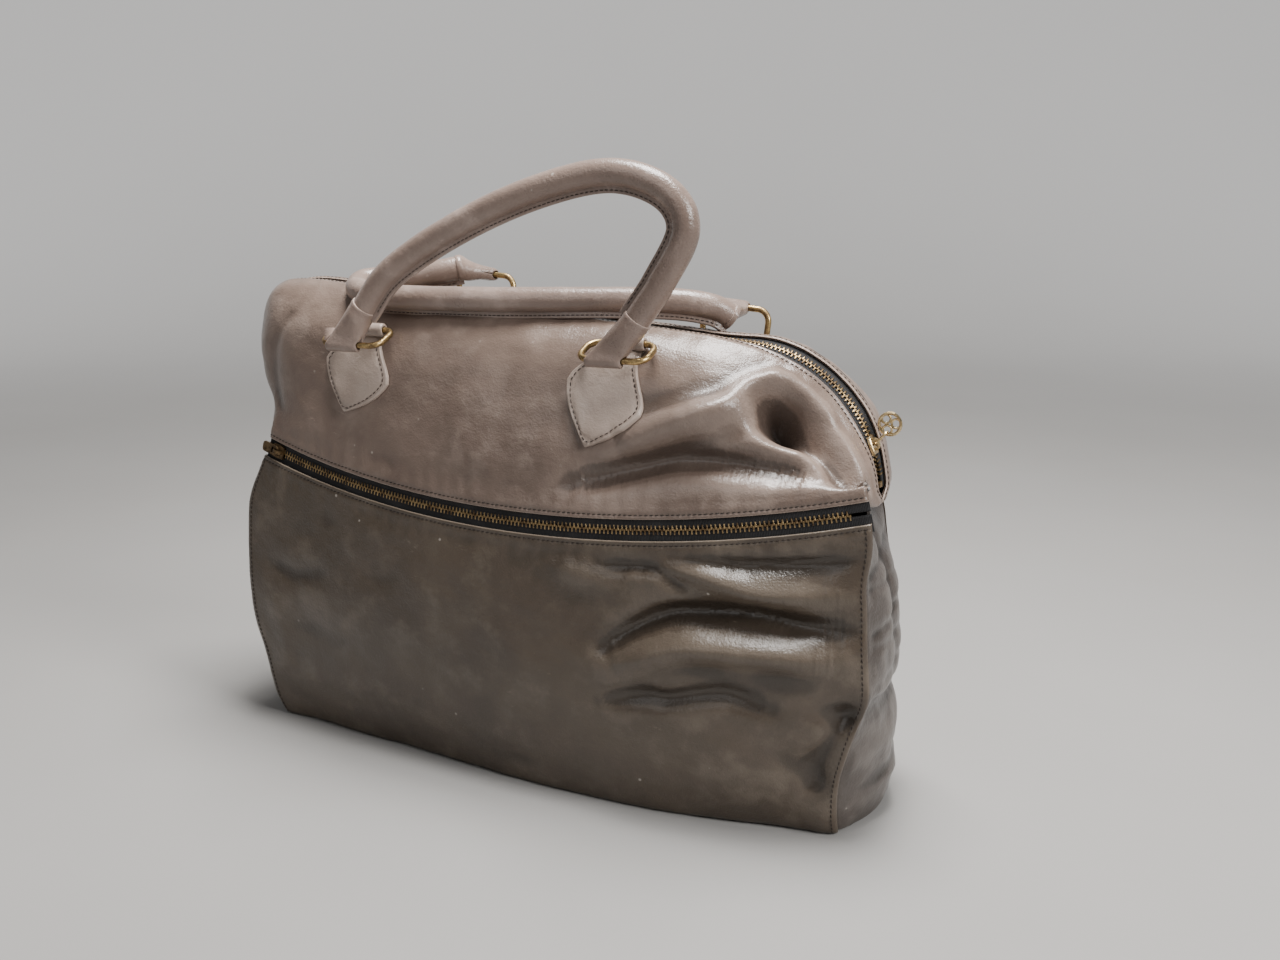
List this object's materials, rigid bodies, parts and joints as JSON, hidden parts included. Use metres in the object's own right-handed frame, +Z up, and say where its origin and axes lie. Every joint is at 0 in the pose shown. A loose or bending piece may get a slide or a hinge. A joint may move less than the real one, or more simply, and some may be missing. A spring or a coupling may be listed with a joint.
{
  "type": "leather duffel bag",
  "caption": "Slouched leather duffel bag with a full-length top zip, a sagging front zip, two rolled handles on brass rings and leaf-shaped leather patches.",
  "frame": {"origin": "centre of the flat underside of the base", "axes": "+X along the bag towards the end where the top zip's slider is, +Y to the back, +Z up"},
  "size_m": [0.4399, 0.1459, 0.3805],
  "materials": {
    "upper_leather": "taupe grey-brown smooth leather, semi-gloss, worn",
    "lower_leather": "darker olive-brown smooth leather, semi-gloss",
    "side_leather": "dark grey-brown leather",
    "leaf_leather": "grey-brown leather with burnished edges",
    "handle_leather": "taupe leather polished by hands",
    "handle_core": "twisted cotton cord",
    "lining_cloth": "dark woven lining",
    "base_board": "pressed fibre board",
    "tape_cloth": "charcoal woven zip tape",
    "old_brass": "aged antique brass",
    "bright_brass": "pale worn brass"
  },
  "bodies": {
    "bag": {"front_upper_panel": "upper_leather", "back_upper_panel": "upper_leather", "front_lower_panel": "lower_leather", "back_lower_panel": "lower_leather", "left_gusset": "side_leather", "right_gusset": "side_leather", "base_panel": "side_leather", "base_stiffener": "base_board", "lining": "lining_cloth", "top_zip_tape_front": "tape_cloth", "top_zip_tape_back": "tape_cloth", "top_zip_chain": "old_brass", "top_zip_stop_left": "old_brass", "top_zip_stop_right": "old_brass", "front_zip_tape_lower": "tape_cloth", "front_zip_tape_upper": "tape_cloth", "front_zip_chain": "old_brass", "front_zip_stop_left": "old_brass", "front_zip_stop_right": "old_brass", "front_leaf_left": "leaf_leather", "front_leaf_right": "leaf_leather", "back_leaf_left": "leaf_leather", "back_leaf_right": "leaf_leather"},
    "front_ring_left": {"front_ring_left": "old_brass"},
    "front_ring_right": {"front_ring_right": "old_brass"},
    "back_ring_left": {"back_ring_left": "old_brass"},
    "back_ring_right": {"back_ring_right": "old_brass"},
    "front_handle": {"front_handle_cover": "handle_leather", "front_handle_core": "handle_core", "front_tab_left": "handle_leather", "front_tab_right": "handle_leather"},
    "back_handle": {"back_handle_cover": "handle_leather", "back_handle_core": "handle_core", "back_tab_left": "handle_leather", "back_tab_right": "handle_leather"},
    "top_slider": {"top_zip_slider": "bright_brass"},
    "top_link": {"top_zip_link": "bright_brass"},
    "top_charm": {"top_zip_charm": "bright_brass"},
    "front_slider": {"front_zip_slider": "old_brass"},
    "front_pull": {"front_zip_pull": "old_brass"}
  },
  "joints": [
    {"name": "front_ring_left_swing", "type": "hinge", "parent": "bag", "child": "front_ring_left", "pos_m": [-0.11598, -0.0423, 0.27683], "axis": [-0.9987, -0.0503, 0.0031], "range_deg": [0, 15]},
    {"name": "front_ring_right_swing", "type": "hinge", "parent": "bag", "child": "front_ring_right", "pos_m": [0.06031, -0.03342, 0.27629], "axis": [-0.9987, -0.0503, 0.0031], "range_deg": [0, 15]},
    {"name": "front_handle_swing", "type": "hinge", "parent": "front_ring_left", "child": "front_handle", "pos_m": [-0.11502, -0.06188, 0.2693], "axis": [0.9987, 0.0503, -0.0031], "range_deg": [0, 135]},
    {"name": "back_ring_left_swing", "type": "hinge", "parent": "bag", "child": "back_ring_left", "pos_m": [-0.07576, 0.03354, 0.28703], "axis": [-0.9966, 0.0002, 0.0822], "range_deg": [0, 60]},
    {"name": "back_ring_right_swing", "type": "hinge", "parent": "bag", "child": "back_ring_right", "pos_m": [0.10232, 0.0335, 0.27234], "axis": [-0.9966, 0.0002, 0.0822], "range_deg": [0, 60]},
    {"name": "back_handle_swing", "type": "hinge", "parent": "back_ring_left", "child": "back_handle", "pos_m": [-0.07404, 0.03575, 0.30784], "axis": [-0.9966, 0.0002, 0.0822], "range_deg": [0, 150]},
    {"name": "top_zip_slide", "type": "hinge", "parent": "bag", "child": "top_slider", "pos_m": [0.118, 0, 0.189], "axis": [0, -1, 0], "range_deg": [-10, 50]},
    {"name": "top_link_swing", "type": "hinge", "parent": "top_slider", "child": "top_link", "pos_m": [0.20219, 0, 0.22301], "axis": [0, 1, 0], "range_deg": [-25, 60]},
    {"name": "top_charm_swing", "type": "hinge", "parent": "top_link", "child": "top_charm", "pos_m": [0.20801, 0, 0.22995], "axis": [0, 1, 0], "range_deg": [-12, 35]},
    {"name": "front_zip_slide", "type": "hinge", "parent": "bag", "child": "front_slider", "pos_m": [0.0045, 0.40344, 0.65014], "axis": [0, -0.7147, 0.6995], "range_deg": [0, 34]},
    {"name": "front_pull_swing", "type": "hinge", "parent": "front_slider", "child": "front_pull", "pos_m": [-0.19187, -0.04627, 0.19155], "axis": [0.2283, 0.0756, 0.9707], "range_deg": [0, 140]}
  ],
  "couplings": [
    {"joint": "front_ring_right_swing", "follows": "front_ring_left_swing", "ratio": 1},
    {"joint": "back_ring_right_swing", "follows": "back_ring_left_swing", "ratio": 1}
  ]
}
